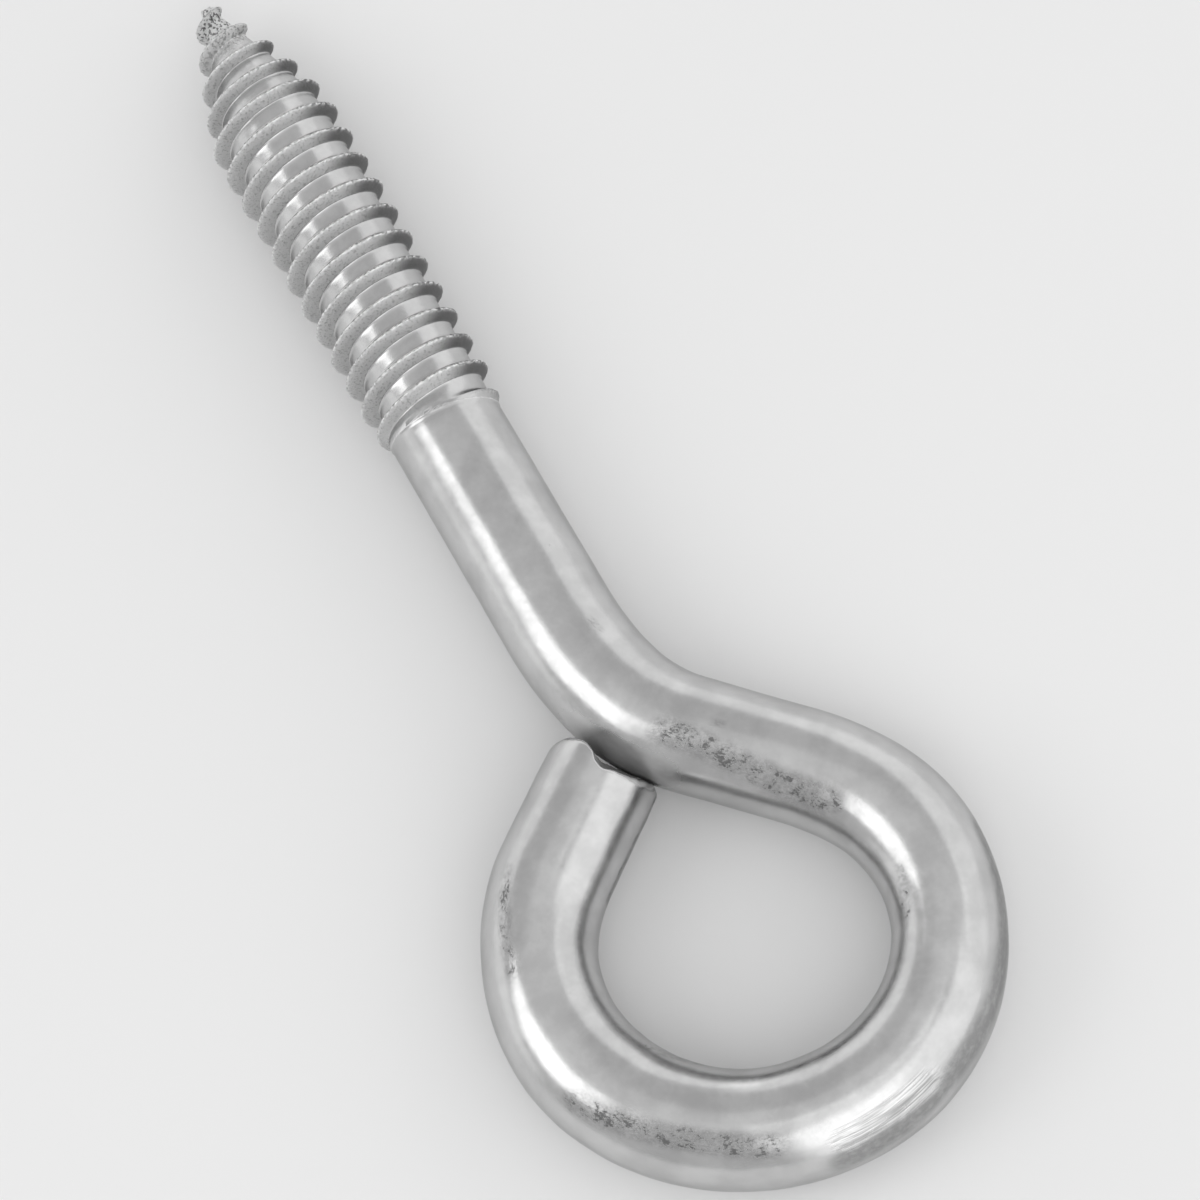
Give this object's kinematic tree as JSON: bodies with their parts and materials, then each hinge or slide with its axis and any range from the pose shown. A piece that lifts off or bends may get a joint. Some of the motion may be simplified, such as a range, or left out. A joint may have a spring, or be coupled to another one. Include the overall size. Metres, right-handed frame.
{
  "type": "eye bolt",
  "caption": "Wood-thread eye bolt bent from one steel rod: gimlet point, rolled lag thread, plain shank, offset neck and closed round eye.",
  "frame": {"origin": "centre of the eye, on the mid-plane of the bent rod", "axes": "+X along the shank from the eye to the point, +Z square to the eye, and +Y the side of the eye that its free end closes"},
  "size_m": [0.1134, 0.0413, 0.0108],
  "materials": {
    "zinc_plated_steel": "bright zinc plate over formed steel rod, lightly pitted, with a coarse rolled grain on the thread crests"
  },
  "bodies": {
    "root": {"gimlet_point": "zinc_plated_steel", "lag_thread": "zinc_plated_steel", "plain_shank": "zinc_plated_steel", "neck_bend": "zinc_plated_steel", "eye_loop": "zinc_plated_steel"}
  },
  "joints": []
}
